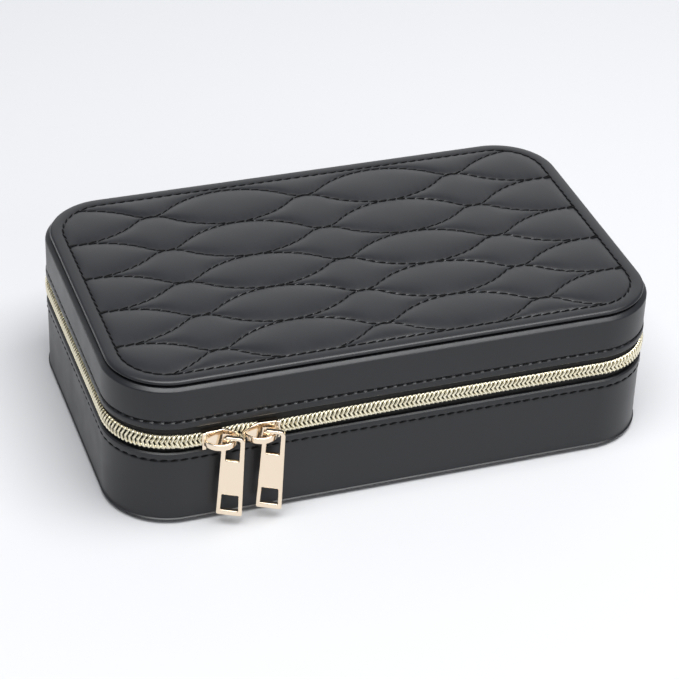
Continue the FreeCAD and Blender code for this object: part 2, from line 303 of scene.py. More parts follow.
# %% Pieces and sweeps
def new_piece(name, points, faces, finish, uv=None, tidy=False):
    """A mesh object at the origin, smooth, with its finish and its faces pointing outwards."""
    mesh = bpy.data.meshes.new(name)
    mesh.from_pydata([tuple(map(float, p)) for p in points], [], [tuple(map(int, f)) for f in faces])
    if uv is not None:
        layer = mesh.uv_layers.new(name="UVMap")
        corners = np.zeros(len(mesh.loops), int)
        mesh.loops.foreach_get("vertex_index", corners)
        layer.data.foreach_set("uv", np.asarray(uv, np.float32)[corners].ravel())
    work = bmesh.new()
    work.from_mesh(mesh)
    if tidy:
        bmesh.ops.remove_doubles(work, verts=work.verts, dist=0.002 * mm)
        bmesh.ops.dissolve_degenerate(work, edges=work.edges, dist=0.001 * mm)
    bmesh.ops.recalc_face_normals(work, faces=work.faces)
    work.to_mesh(mesh)
    work.free()
    mesh.shade_smooth()
    mesh.materials.append(finish)
    print(f"{name}: {len(mesh.polygons)} faces")
    return put(name, mesh)


def sweep(name, finish, distances, insets, heights, closed_way=True, closed_profile=True):
    """Sweeps a profile round the case, with one row of insets and heights for each distance or for all."""
    count = len(distances)
    insets = np.broadcast_to(insets, (count, np.shape(insets)[-1]))
    heights = np.broadcast_to(heights, insets.shape)
    spots = [walk(d) for d in distances]
    place = np.array([s[0] for s in spots])
    out = np.array([s[1] for s in spots])
    flat = place[:, None, :] - out[:, None, :] * insets[:, :, None]
    points = np.concatenate([flat, heights[:, :, None]], axis=2).reshape(-1, 3)
    columns = insets.shape[1]
    faces = grid_faces(count, columns, closed_way, closed_profile).tolist()
    numbers = np.arange(count * columns).reshape(count, columns)
    if not closed_way and closed_profile:
        faces += numbers[[0, -1]].tolist()
    if not closed_profile and closed_way:
        faces += numbers[:, [0, -1]].T.tolist()
    steps = np.hypot(np.diff(insets[0]), np.diff(heights[0]))
    across = np.concatenate([[0], np.cumsum(steps)])
    uv = np.stack(np.broadcast_arrays(np.asarray(distances)[:, None], across[None, :]), axis=-1)
    return new_piece(name, points, faces, finish, uv.reshape(-1, 2))


def dress(piece, body, slot, *nodes):
    """The piece rides on a body and stands for the frame's nodes. The slot is not used."""
    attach(piece, body)
    if nodes:
        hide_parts(*nodes)


# %% [markdown]
# ## Leather bands
# Each half of the case has a band of leather round its sides, glued to a board. At the zip its edge is
# turned in and sewn, so the edge is a soft bead and the sewing lies in a shallow groove, pulled in a little
# at every stitch. The base's lip and foot and the lid's shoulder are narrow slopes that catch the light
# from above as thin lines. A profile swept round the case gives both bands, with sharp shading kept between
# the slopes and the walls.

# %% Bands round the base and the lid
stitch_pitch = way_round / round(way_round / (3.92 * mm))
band_step = stitch_pitch / 5
band_walk = np.arange(0, way_round - band_step / 2, way_round / round(way_round / band_step))
base_row_z = 29.5 * mm
lid_row_z = 46.9 * mm
groove_depth = 0.45 * mm
groove_half = 0.5 * mm
groove_spots = np.array([0.1, 0.25, 0.4, 0.55, 0.7, 0.9, 1.2, 1.7, 2.6]) * mm
groove_spots = np.concatenate([-groove_spots[::-1], groove_spots])
stitch_pull = 0.6
bead_swell = 0.3 * mm
outer_skin = leather / 5
sharp_from = math.radians(35)


def sewn_band(name, foot, inner, row_z, lip_z):
    """A band whose outer side has a groove along the sewn row and a bead between the row and the lip."""
    insets, heights = rounded(foot + [(0, row_z + spot, 0) for spot in groove_spots] + inner).T
    pull = 1 + stitch_pull * np.cos(2 * np.pi * band_walk / stitch_pitch)
    outer = insets < outer_skin
    groove = np.where(outer, groove_depth * np.exp(-((heights - row_z) / groove_half) ** 2), 0)
    bead_middle, bead_half = (row_z + lip_z) / 2, abs(row_z - lip_z) / 2
    bead = np.where(outer, bead_swell * np.clip(1 - ((heights - bead_middle) / bead_half) ** 4, 0, 1), 0)
    made = sweep(name, black_leather, band_walk, insets + groove * pull[:, None] - bead, heights)
    made.data.set_sharp_from_angle(angle=sharp_from)
    return made


foot_z = base_bottom_z + 0.3 * mm
foot_out = 0.5 * mm
base_foot = [(-foot_out, foot_z, 0), (-foot_out, foot_z + 0.2 * mm, 0), (0, foot_z + 0.55 * mm, 0)]
base_inner = [(0, base_lip_z - 0.48 * mm, 0), (0.38 * mm, base_lip_z, 0),
              (leather, base_lip_z, 0.3 * mm), (leather, foot_z, 0.2 * mm)]
ledge_z = shoulder_z + 0.04 * mm
ledge_end = 5.0 * mm
ledge_under_z = ledge_z - 0.4 * mm
shoulder_drop = 1.3 * mm
shoulder_run = 1.7 * mm
lid_foot = [(0, lid_lip_z, 0.75 * mm)]
lid_inner = [(0, ledge_z - shoulder_drop, 0.8 * mm), (shoulder_run, ledge_z, 1.2 * mm),
             (ledge_end, ledge_z, 0), (ledge_end, ledge_under_z, 0),
             (leather + shoulder_run, ledge_under_z, 0), (leather, ledge_z - 2 * shoulder_drop, 0),
             (leather, lid_lip_z, 0.3 * mm)]
base_band = sewn_band("base_leather_band", base_foot, base_inner, base_row_z, base_lip_z)
lid_band = sewn_band("lid_leather_band", lid_foot, lid_inner, lid_row_z, lid_lip_z)
dress(base_band, "base", "black_leather", "base_side_leather")
dress(lid_band, "lid", "black_leather", "lid_side_leather")

# %% [markdown]
# ## Quilted top
# The lid's panel is leather over foam. It is sewn down along ten waves, which kiss in turn at a sharp and
# at a wide crest, and along one line round the edge, outside which a plain rolled border runs. A grid whose
# rows lie exactly on the sewn lines keeps every crease crisp, where a simulation would blur it. Between two
# lines the leather swells, more where they are further apart.

# %% Lines of the quilting
seam_inset = panel_inset + 5.4 * mm
seam_half_x = half_length - seam_inset
seam_radius = corner_radius - seam_inset
quilt_period = 65.0 * mm
quilt_sharp_run = 7.0 * mm
quilt_shift = -1.3 * mm
panel_shift = -0.55 * mm
quilt_sharp_y = [y * mm - panel_shift for y in (-51.5, -27.4, -3.5, 20.9, 47.0)]
quilt_half_row = 12.4 * mm
kiss_half = 0.08 * mm

quilt_wide_y = [quilt_sharp_y[0] - quilt_half_row]
quilt_wide_y += [(low + high) / 2 for low, high in zip(quilt_sharp_y, quilt_sharp_y[1:])]
quilt_wide_y.append(quilt_sharp_y[-1] + quilt_half_row)
quilt_levels = []
for sharp_y, below, above in zip(quilt_sharp_y, quilt_wide_y, quilt_wide_y[1:]):
    quilt_levels.append((below + kiss_half, sharp_y - kiss_half))
    quilt_levels.append((above - kiss_half, sharp_y + kiss_half))


def wave(x, wide_y, sharp_y):
    """Place across the panel of a wave of tangent arcs, sharp at one crest and wide at the other."""
    half = quilt_period / 2
    off = np.abs((x - quilt_shift + half) % quilt_period - half)
    turn = 2 * np.arctan(abs(sharp_y - wide_y) / half)
    sharp_radius = quilt_sharp_run / np.sin(turn)
    wide_radius = (half - quilt_sharp_run) / np.sin(turn)
    way = np.sign(sharp_y - wide_y)
    near = np.minimum(off, quilt_sharp_run)
    far = np.minimum(half - off, half - quilt_sharp_run)
    sharp = sharp_y - way * (sharp_radius - np.sqrt(sharp_radius ** 2 - near ** 2))
    wide = wide_y + way * (wide_radius - np.sqrt(wide_radius ** 2 - far ** 2))
    return np.where(off < quilt_sharp_run, sharp, wide)


def field_edge(x):
    """Half the depth of the quilted field at a place along the case."""
    into_corner = np.clip(np.abs(x) - straight_x, 0, seam_radius)
    return straight_y + np.sqrt(seam_radius ** 2 - into_corner ** 2)


print("sewn waves:", len(quilt_levels))

# %% Swell of the quilting
seam_z = 64.05 * mm
swell = 1.6 * mm
swell_reach = 11.0 * mm
swell_fullness = 0.8
edge_reach = 3.0 * mm
pucker = 0.1 * mm
pucker_reach = 1.6 * mm
pucker_start = 0.4 * mm
slack = 0.06 * mm
slack_reach = 11 * mm
strip_rows = 16
column_step = 0.9 * mm
corner_columns = 26

corner_turn = np.linspace(0, math.pi / 2, corner_columns + 1)[1:]
corner_x = straight_x + seam_radius * np.sin(corner_turn)
middle_x = np.linspace(-straight_x, straight_x, round(2 * straight_x / column_step) + 1)
columns = np.concatenate([-corner_x[::-1], middle_x, corner_x])
edge = field_edge(columns)
lines = [-edge] + [np.clip(wave(columns, *level), -edge, edge) for level in quilt_levels] + [edge]
share = (1 - np.cos(np.pi * np.arange(strip_rows) / strip_rows)) / 2

field_y, field_z = [], []
for low, high in zip(lines, lines[1:]):
    width = high - low
    walked = [np.concatenate([[0], np.cumsum(np.hypot(np.diff(columns), np.diff(y)))]) for y in (low, high)]
    for t in share:
        rise = swell * (1 - np.exp(-width / swell_reach)) * (4 * t * (1 - t)) ** swell_fullness
        rise = rise * (1 - np.exp(-(seam_half_x - np.abs(columns)) / edge_reach))
        near = width * min(t, 1 - t)
        beat = np.cos(2 * np.pi * walked[0 if t < 0.5 else 1] / stitch_pitch)
        rise = rise - pucker * np.exp(-near / pucker_reach) * beat * np.clip(near / pucker_start, 0, 1)
        field_y.append(low + t * width)
        field_z.append(seam_z + rise)
field_y = np.array(field_y + [edge])
field_z = np.array(field_z + [np.full_like(edge, seam_z)])
for r, c in np.ndindex(field_z.shape):
    place = Vector((columns[c], field_y[r, c], 0)) / slack_reach
    lift = (field_z[r, c] - seam_z) / swell
    field_z[r, c] += slack * lift * noise.noise(place)
print("quilted grid:", field_z.shape)

# %% Rolled border and panel
border_outline = [
    (6.9, 64.1), (6.5, 64.25), (5.8, 64.38), (4.9, 64.42), (3.9, 64.36), (3.1, 64.24), (2.65, 64.14),
    (2.3, 63.98), (2.0, 63.74), (1.82, 63.45), (1.76, 63.2), (1.8, 62.98), (1.95, 62.82), (2.3, 62.74),
    (3.7, 62.72), (3.8, 62.4), (3.8, 61.66),
]
points = np.stack([np.broadcast_to(columns, field_y.shape), field_y, field_z], axis=-1).reshape(-1, 3)
faces = grid_faces(*field_y.shape, False, False).tolist()
numbers = np.arange(field_y.size).reshape(field_y.shape)
rim = np.concatenate([numbers[0], numbers[1:, -1], numbers[-1, -2::-1], numbers[-2:0:-1, 0]])
cores = np.clip(points[rim, :2], (-straight_x, -straight_y), (straight_x, straight_y))
rim_places = [Vector(place) for place in points[rim, :2]]
rim_out = [(place - Vector(core)).normalized() for place, core in zip(rim_places, cores)]
ring = rim
for inset, z in border_outline:
    grown = [(*(place + out * (seam_inset - inset * mm)), z * mm) for place, out in zip(rim_places, rim_out)]
    above, ring = ring, np.arange(len(points), len(points) + len(rim))
    points = np.concatenate([points, grown])
    faces += np.stack([above, np.roll(above, 1), np.roll(ring, 1), ring], axis=1).tolist()
faces.append(ring.tolist())
points[:, 1] += panel_shift
quilted_pad = new_piece("quilted_lid_pad", points, faces, black_leather, tidy=True)
dress(quilted_pad, "lid", "black_leather", "quilted_top_panel")

# %% [markdown]
# ## Sewing
# The thread is black, bonded polyester, a little shiny. Each stitch is a short bar that dives into the
# leather at both ends and lies slightly aslant. Geometry Nodes set one stitch at every pitch of a sewn
# line, so one tree sews all rows. A tree that follows a line always starts with the points on it and ends
# with plain, finished meshes, so two functions hold that start and that end for the zip's teeth too.

# %% Thread
thread, tree, surface, coords = finish_of(
    "bonded_polyester_thread", Base_Color=paint("#060607"), Roughness=0.55, Specular_IOR_Level=0.12)
# A wave turns by 20 radians in a unit, so the thread's filaments come out 0.16 mm apart.
twist = node(tree, "ShaderNodeTexWave", {"Vector": coords["Object"], "Scale": 1 / (0.5 * mm)})
node(tree, "ShaderNodeBump", {"Height": twist.outputs["Fac"], "Strength": 0.3, "Distance": 0.05 * mm},
     surface["Normal"])


# %% Trees that follow a line
def start_tree(name, *sizes):
    """A tree with named inputs, the points at every pitch of a guide line, and the way each point faces."""
    tree = bpy.data.node_groups.new(name, "GeometryNodeTree")
    tree.interface.new_socket("Geometry", in_out="OUTPUT", socket_type="NodeSocketGeometry")
    for socket, kind in (("Geometry", "Geometry"), ("Pitch", "Float"), ("Finish", "Material"), *sizes):
        tree.interface.new_socket(socket, in_out="INPUT", socket_type="NodeSocket" + kind)
    given = node(tree, "NodeGroupInput").outputs
    line = node(tree, "GeometryNodeMeshToCurve", {"Mesh": given["Geometry"]})
    spots = node(tree, "GeometryNodeCurveToPoints", {"Curve": line, "Length": given["Pitch"]}, mode="LENGTH")
    facing = node(tree, "GeometryNodeInputNamedAttribute", {"Name": "facing"}, data_type="FLOAT_VECTOR")
    return tree, given, spots, facing


def end_tree(tree, given, instances):
    """Makes the instances real and smooth, gives them their finish and hands them out."""
    real = node(tree, "GeometryNodeRealizeInstances", {"Geometry": instances})
    smooth = node(tree, "GeometryNodeSetShadeSmooth", {"Geometry": real})
    finished = node(tree, "GeometryNodeSetMaterial", {"Geometry": smooth, "Material": given["Finish"]})
    node(tree, "NodeGroupOutput", {"Geometry": finished})
    print("tree:", tree.name)


# %% Growing a tree on a line
def plain_mesh(holder):
    """What an object shows, with its modifiers, as a mesh of its own."""
    return bpy.data.meshes.new_from_object(holder.evaluated_get(bpy.context.evaluated_depsgraph_get()))


def grown_on(name, tree, rows, values):
    """Runs a tree on polylines of (points, facings) and returns its result as a plain mesh object."""
    points, edges, facings = [], [], []
    for row_points, row_facings in rows:
        start = len(points)
        points += [tuple(map(float, p)) for p in row_points]
        facings += [tuple(map(float, f)) for f in row_facings]
        edges += [(i, i + 1) for i in range(start, len(points) - 1)]
    guide_mesh = bpy.data.meshes.new(name + "_guide")
    guide_mesh.from_pydata(points, edges, [])
    facing = guide_mesh.attributes.new("facing", "FLOAT_VECTOR", "POINT")
    facing.data.foreach_set("vector", np.array(facings, np.float32).ravel())
    guide = put(name + "_guide", guide_mesh)
    modifier = guide.modifiers.new("grown", "NODES")
    modifier.node_group = tree
    for item in tree.interface.items_tree:
        if item.in_out == "INPUT" and item.name in values:
            modifier[item.identifier] = values[item.name]
    mesh = plain_mesh(guide)
    mesh.name = name
    guide.modifiers.remove(modifier)
    bpy.data.objects.remove(guide)
    print(f"{name}: {len(mesh.polygons)} faces")
    return put(name, mesh)


# %% A tree that sews a line
sew, given, spots, facing = start_tree(
    "sewn_row", ("Stitch length", "Float"), ("Thread", "Float"), ("Slant", "Float"))
tangent = spots.outputs["Tangent"]
aside = node(sew, "ShaderNodeVectorMath", {0: facing, 1: tangent}, operation="CROSS_PRODUCT")
uneven = node(sew, "FunctionNodeRandomValue", {"Min": 0.6, "Max": 1.4, "Seed": 3})
lean = node(sew, "ShaderNodeMath", {0: given["Slant"], 1: uneven}, operation="MULTIPLY")
leaning = node(sew, "ShaderNodeVectorMath", {0: aside, "Scale": lean}, operation="SCALE")
heading = node(sew, "ShaderNodeVectorMath", {0: tangent, 1: leaning}, operation="ADD")
turned = node(sew, "FunctionNodeAlignRotationToVector", {"Vector": heading}, axis="Z")
bar = node(sew, "GeometryNodeMeshUVSphere", {"Segments": 8, "Rings": 6, "Radius": 0.5})
size = node(sew, "ShaderNodeCombineXYZ", {
    "X": given["Thread"], "Y": given["Thread"], "Z": given["Stitch length"]})
stitch = node(sew, "GeometryNodeTransform", {"Geometry": bar, "Scale": size})
end_tree(sew, given, node(sew, "GeometryNodeInstanceOnPoints", {
    "Points": spots, "Instance": stitch, "Rotation": turned}))

# %% Sewn rows
row_points = 900
quilt_lift = 0.2 * mm
quilt_clear = 0.8 * mm
quilt_end_clear = 1.4 * mm
shortest_run = 8
fine_x = np.arange(-seam_half_x, seam_half_x, 0.4 * mm)


def row_round(inset, z, shift=0, upwards=False):
    """A row round the case at an inset from its outer edge, facing upwards or out of the wall."""
    run, facings = [], []
    for d in np.linspace(0, way_round, row_points):
        (x, y), out = walk(d)
        run.append((x - out[0] * inset, y - out[1] * inset + shift, z))
        facings.append((0, 0, 1) if upwards else (*out, 0))
    return run, facings


quilt_rows = []
for level in quilt_levels:
    y = wave(fine_x, *level)
    inside = np.abs(y) < field_edge(fine_x) - quilt_clear
    inside &= np.abs(fine_x) < seam_half_x - quilt_end_clear
    starts = np.flatnonzero(np.diff(np.concatenate([[0], inside.astype(int), [0]])))
    for first, last in zip(starts[::2], starts[1::2]):
        if last - first > shortest_run:
            run = [(fine_x[i], y[i] + panel_shift, seam_z + quilt_lift) for i in range(first, last)]
            quilt_rows.append((run, [(0, 0, 1)] * len(run)))
quilt_rows.append(row_round(seam_inset, seam_z + quilt_lift, panel_shift, upwards=True))

sewing = {"Pitch": stitch_pitch, "Finish": thread, "Stitch length": 2.9 * mm, "Thread": 0.6 * mm,
          "Slant": 0.16}
quilt_sewing = sewing | {"Stitch length": 3.9 * mm, "Thread": 0.62 * mm}
lid_sunk, base_sunk = 0.1 * mm, -0.12 * mm
for name, rows, values, body in (
        ("quilt_stitches", quilt_rows, quilt_sewing, "lid"),
        ("lid_side_stitches", [row_round(lid_sunk, lid_row_z)], sewing, "lid"),
        ("base_side_stitches", [row_round(base_sunk, base_row_z)], sewing, "base")):
    dress(grown_on(name, sew, rows, values), body, "zip_tape")

# %% [markdown]
# ## Zip tapes
# The zip is woven on two polyester tapes. Each is sewn in behind the leather's turned edge and comes out of
# the gap between base and lid, where it lies a little behind the leather. The eye sees dull black cloth
# with fine ribs. A swept strip makes it, as for the bands, and the weave follows the strip's own UV map,
# which runs along the tape and across it in metres.


# %% Woven cloth
def woven_finish(name, colour, thread_mm, dull):
    """A plain weave of two sets of threads, as bump and as a change of colour."""
    made, tree, surface, coords = finish_of(name, Roughness=dull)
    ribs = []
    # The ribs come out a full turn of threads apart, 3.8 mm here: real ones are too fine to show on black.
    for turn in (0.0, math.pi / 2):
        laid = node(tree, "ShaderNodeMapping", {"Vector": coords["UV"], "Rotation": (0, 0, turn)})
        rib = node(tree, "ShaderNodeTexWave", {"Vector": laid, "Scale": 1 / (thread_mm * mm) / 20})
        ribs.append(rib.outputs["Fac"])
    weave = node(tree, "ShaderNodeMath", {0: ribs[0], 1: ribs[1]}, operation="MULTIPLY")
    node(tree, "ShaderNodeMix", {"Factor": weave, "A": paint(colour, 0.5), "B": paint(colour)},
         surface["Base Color"], data_type="RGBA")
    node(tree, "ShaderNodeBump", {"Height": weave, "Strength": 0.6, "Distance": 0.1 * mm}, surface["Normal"])
    return made


zip_fabric = woven_finish("woven_black_polyester_tape", "#131212", 0.6, 0.75)

# %% Tapes
tape_inset = half_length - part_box("upper_zip_tape")[1].x
tape_thickness = 0.6 * mm
tape_mid = 0.85 * mm
tape_edge = 0.5 * mm
tape_bend_run, tape_bend = 1.2 * mm, 0.15 * mm
zip_stop_turn = math.radians(40)
zip_end = straight_x + corner_radius * zip_stop_turn
zip_walk = np.linspace(zip_end, way_round - zip_end, 500)
slider_x = [sum(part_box(side + "_slider_body")[i].x for i in (0, 1)) / 2 for side in ("left", "right")]
slider_reach = 6 * mm
chain_rise = 0.45 * mm
dip_reach = 24 * mm


def on_front(y):
    """Whether a place on the outer edge is on the straight front."""
    return y < front_y + 0.1 * mm


def chain_z(distance):
    """Height of the chain's middle: the sliders pull it down where they are parked."""
    (x, y), _ = walk(distance)
    away = abs(x - sum(slider_x) / 2) if on_front(y) else dip_reach * 3
    near = max(away - (slider_x[1] - slider_x[0]) / 2 - slider_reach, 0) / dip_reach
    return zip_z + chain_rise * (1 - math.exp(-near ** 2))


def zip_tape(name, side, lip_z, tucked_z):
    """From behind the leather to under the teeth, bent outwards a little."""
    chain = np.array([chain_z(d) for d in zip_walk])
    hidden = [np.full_like(chain, z) for z in (tucked_z, lip_z, lip_z - side * tape_bend_run)]
    heights = np.stack(hidden + [chain + side * tape_edge], axis=1)
    insets = np.array([tape_inset, tape_inset, tape_inset - tape_bend, tape_mid])
    return sweep(name, zip_fabric, zip_walk, np.concatenate([insets, insets[::-1] + tape_thickness]),
                 np.concatenate([heights, heights[:, ::-1]], axis=1), closed_way=False)


lower_tape = zip_tape("lower_zip_fabric", -1, base_lip_z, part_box("lower_zip_tape")[0].z)
upper_tape = zip_tape("upper_zip_fabric", 1, lid_lip_z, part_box("upper_zip_tape")[1].z)
dress(lower_tape, "base", "zip_tape", "lower_zip_tape")
dress(upper_tape, "lid", "zip_tape", "upper_zip_tape")

# %% [markdown]
# ## Zip teeth
# The chain is a nylon coil with a thin pale gold metal coat: bright, hard glints on a slightly worn
# surface. Every turn of the coil shows as a slanted bar that bends over at its outer end and dives in at
# the middle, where the two rows mesh half a pitch apart. A link behind the outer ends joins each bar to the
# next. One bar with its link is made in a tree and set along the chain, so both rows come from a few sizes.
# The guide's facing turns the bars: near the sliders the chain leans back, and round the sides shorter
# facings make slim bars.

# %% Gold of the coil
coil_gold, tree, surface, coords = finish_of("metal_coated_nylon_coil", Metallic=1.0, Roughness=0.3)
worn = node(tree, "ShaderNodeTexNoise", {"Vector": coords["Object"], "Scale": 1 / (2.2 * mm)})
node(tree, "ShaderNodeMix", {"Factor": worn, "A": paint("#ece2c2"), "B": paint("#fdf8e4")},
     surface["Base Color"], data_type="RGBA")
node(tree, "ShaderNodeMapRange", {"Value": worn, "To Min": 0.22, "To Max": 0.4}, surface["Roughness"])

# %% A tree that lays a coil
coil, given, spots, facing = start_tree(
    "coil_row", ("Foot", "Vector"), ("Crown", "Vector"), ("Head", "Vector"), ("Next foot", "Vector"),
    ("Wire", "Float"), ("Foot fullness", "Float"), ("Head fullness", "Float"))
bend = node(coil, "GeometryNodeCurveQuadraticBezier", {
    "Resolution": 6, "Start": given["Foot"], "Middle": given["Crown"], "End": given["Head"]})
along = node(coil, "GeometryNodeSplineParameter")
taper = node(coil, "ShaderNodeMapRange", {
    "Value": along, "To Min": given["Foot fullness"], "To Max": given["Head fullness"]})
turn = node(coil, "GeometryNodeJoinGeometry")
node(coil, "GeometryNodeCurvePrimitiveLine", {"Start": given["Foot"], "End": given["Next foot"]},
     turn.inputs["Geometry"])
node(coil, "GeometryNodeSetCurveRadius", {"Curve": bend, "Radius": taper}, turn.inputs["Geometry"])
section = node(coil, "GeometryNodeCurvePrimitiveCircle", {"Resolution": 7, "Radius": given["Wire"]},
               mode="RADIUS")
bar = node(coil, "GeometryNodeCurveToMesh", {"Curve": turn, "Profile Curve": section, "Fill Caps": True})
upright = node(coil, "FunctionNodeAlignRotationToVector", {"Vector": facing}, axis="Y", pivot_axis="Z")
leant = node(coil, "FunctionNodeAlignRotationToVector", {"Rotation": upright, "Vector": facing},
             axis="Y", pivot_axis="X")
breadth = node(coil, "ShaderNodeVectorMath", {"Vector": facing}, operation="LENGTH")
size = node(coil, "ShaderNodeCombineXYZ", {"X": breadth, "Y": 1.0, "Z": 1.0})
end_tree(coil, given, node(coil, "GeometryNodeInstanceOnPoints", {
    "Points": spots, "Instance": bar, "Rotation": leant, "Scale": size}))

# %% Rows of teeth
tooth_pitch = 1.8 * mm
tooth_reach = 2.35 * mm
tooth_slant = 1.5 * mm
tooth_wire = 0.56 * mm
foot_fullness, head_fullness = 1.25, 0.95
foot_depth, link_depth, head_depth = 0.7 * mm, 0.95 * mm, 0.2 * mm
crown_out, crown_reach = 0.65 * mm, 2.1 * mm
head_past = 0.25 * mm
link_drop = 0.5 * mm
rows_parted = 1.1 * mm
corner_parting = 0.3 * mm
chain_lean = math.radians(26)
side_lean = math.radians(4)
lean_reach = 55 * mm
side_slimming = 0.44
upper_proud = 0.6 * mm
slider_half = 7.25 * mm


def parting(x, y):
    """The rows run apart inside the sliders and between them."""
    from_end = min(x - slider_x[0] + slider_half, slider_x[1] + slider_half - x)
    return rows_parted * min(max(from_end / (2 * slider_half), 0), 1) if on_front(y) else 0.0


def chain_row(side):
    """The chain's middle line for one row, and the way out of the case, which is the bars' back to front."""
    first = zip_end + (0.5 if side > 0 else 1.0) * tooth_pitch
    run, facings = [], []
    for d in np.arange(first, way_round - zip_end, 0.4 * mm):
        (x, y), out = walk(d)
        front_share = max(-out[1], 0)
        near_sliders = math.exp(-(max(x - slider_x[1], 0) / lean_reach) ** 2)
        lean = chain_lean * near_sliders * front_share - side_lean * (1 - front_share)
        spread = parting(x, y) + (corner_parting * 4 * front_share * (1 - front_share) if x < 0 else 0)
        proud = upper_proud * near_sliders * front_share if side > 0 else 0
        run.append((x + out[0] * proud, y + out[1] * proud, chain_z(d) + side * spread))
        breadth = 1 - side_slimming * (1 - front_share)
        facings.append((*(breadth * math.cos(lean) * np.array(out)), breadth * math.sin(lean)))
    return [(run, facings)]


for name, side, body, cad_node in (("upper_coil_row", 1, "lid", "upper_zip_teeth"),
                                   ("lower_coil_row", -1, "base", "lower_zip_teeth")):
    row = grown_on(name, coil, chain_row(side), {
        "Pitch": tooth_pitch, "Finish": coil_gold, "Wire": tooth_wire,
        "Foot fullness": foot_fullness, "Head fullness": head_fullness,
        "Foot": (-tooth_slant / 2, -foot_depth, side * tooth_reach),
        "Crown": (-tooth_slant / 2, crown_out, side * crown_reach),
        "Head": (tooth_slant / 2, -head_depth, -side * head_past),
        "Next foot": (tooth_pitch - tooth_slant / 2, -link_depth, side * (tooth_reach - link_drop))})
    dress(row, body, "zip_coil", cad_node)

# %% [markdown]
# ## Sliders, bails and pulls
# The two sliders are die-cast zinc, polished and plated in a pale rose gold. The eye sees hard, mirror-like
# reflections and bright lines on every rounded edge. Each body is two plates, a wedge between the rows and
# side walls. A bow-shaped bail stands in front of it, and the pull hangs on the bail. Prisms with bevelled
# edges make the bodies, since a casting has flat faces and small even roundings. A pull is cut from sheet,
# so a flat curve with two windows gives it, with the curve's own bevel.

# %% Rose gold
rose_gold, tree, surface, coords = finish_of(
    "polished_rose_gold_plating", Base_Color=paint("#f4e3cc"), Metallic=1.0, Roughness=0.16)
haze = node(tree, "ShaderNodeTexNoise", {"Vector": coords["Object"], "Scale": 1 / (6 * mm), "Detail": 4.0})
node(tree, "ShaderNodeMapRange", {"Value": haze, "To Min": 0.08, "To Max": 0.18}, surface["Roughness"])


# %% Tubes and modifiers
def tubes(name, finish, shapes):
    """A piece of closed tubes, each given as rings with the same number of points."""
    points, faces = [], []
    for rings in shapes:
        start, count = len(points), len(rings[0])
        points += [point for ring in rings for point in ring]
        faces += (start + grid_faces(len(rings), count, False, True)).tolist()
        faces += [list(range(start, start + count)), list(range(len(points) - count, len(points)))]
    return new_piece(name, points, faces, finish)


def modified(piece, kind, **settings):
    """Gives a piece a modifier and keeps the result as its mesh."""
    modifier = piece.modifiers.new(kind, kind)
    for name, value in settings.items():
        setattr(modifier, name, value)
    mesh = plain_mesh(piece)
    piece.modifiers.remove(modifier)
    piece.data = mesh


# %% Slider bodies
narrow_half, wide_half, nose_half = 3.45 * mm, 3.75 * mm, 0.7 * mm
nose_run = 6.4 * mm
nose_steps, nose_curve = 7, 1.35
corner_cut = 0.5 * mm
slider_face = 1.6 * mm
plate, wall = 1.0 * mm, 0.7 * mm
rail_start, rail_sunk, rail_back = 0.3 * mm, 0.1 * mm, 1.2 * mm
end_half, end_run, end_proud = 3.7 * mm, 1.6 * mm, 0.8 * mm
into_plate, end_sunk = 0.4 * mm, 0.3 * mm
slider_edge = 0.28 * mm
inner_back = tape_inset + tape_thickness + 1.2 * mm

nose_start = slider_half - nose_run
rail_from = rail_start - slider_half
plate_side = [(-slider_half, narrow_half - corner_cut), (-slider_half + corner_cut, narrow_half),
              (nose_start, wide_half)]
for step in range(1, nose_steps):
    share = step / nose_steps
    half = nose_half + (wide_half - nose_half) * (1 - share ** nose_curve)
    plate_side.append((nose_start + nose_run * share, half))
plate_side.append((slider_half, 0.5 * mm))
plate_outline = plate_side + [(s, -h) for s, h in reversed(plate_side)]
rail = [(rail_from, narrow_half - rail_sunk), (nose_start, wide_half - rail_sunk),
        (nose_start, wide_half - wall), (rail_from, narrow_half - wall)]
end = [(-slider_half, end_half), (end_run - slider_half, end_half),
       (end_run - slider_half, -end_half), (-slider_half, -end_half)]
wedge = [(s * mm, h * mm) for s, h in ((-0.5, 0), (4.0, 0.5), (6.9, 0.5), (6.9, -0.5), (4.0, -0.5))]
slider_parts = [
    (plate_outline, 1, slider_face - plate, slider_face), (plate_outline, 1, -inner_back, plate - inner_back),
    (rail, -1, -rail_back, slider_face - into_plate), (rail, 1, -rail_back, slider_face - into_plate),
    (end, 1, slider_face - end_sunk, slider_face + end_proud),
    (wedge, 1, plate / 2 - inner_back, slider_face - into_plate),
]
for side, centre, wide in (("left", slider_x[0], 1), ("right", slider_x[1], -1)):
    points, faces = [], []
    for outline, way, *depths in slider_parts:
        start, count = len(points), len(outline)
        for depth in depths:
            points += [(centre + wide * s, front_y - depth, zip_z + way * h) for s, h in outline]
        faces += [range(start, start + count), range(start + 2 * count - 1, start + count - 1, -1)]
        for i in range(count):
            j = (i + 1) % count
            faces.append((start + j, start + i, start + count + i, start + count + j))
    body = new_piece(side + "_slider", points, faces, rose_gold)
    modified(body, "BEVEL", width=slider_edge, segments=3, limit_method="ANGLE", angle_limit=math.radians(40))
    dress(body, side + "_slider", "slider_gold", side + "_slider_body")

# %% Bails
bail_low, bail_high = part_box("left_slider_bail")
bail_z = (bail_low.z + bail_high.z) / 2
bail_half = (bail_high.z - bail_low.z) / 2
bail_depth = 0.9 * mm
bail_radius = front_y - bail_low.y - bail_depth
bail_strap = 1.1 * mm
bail_edge = 0.4 * mm
bail_sweep = math.radians(84)
bail_steps = 41

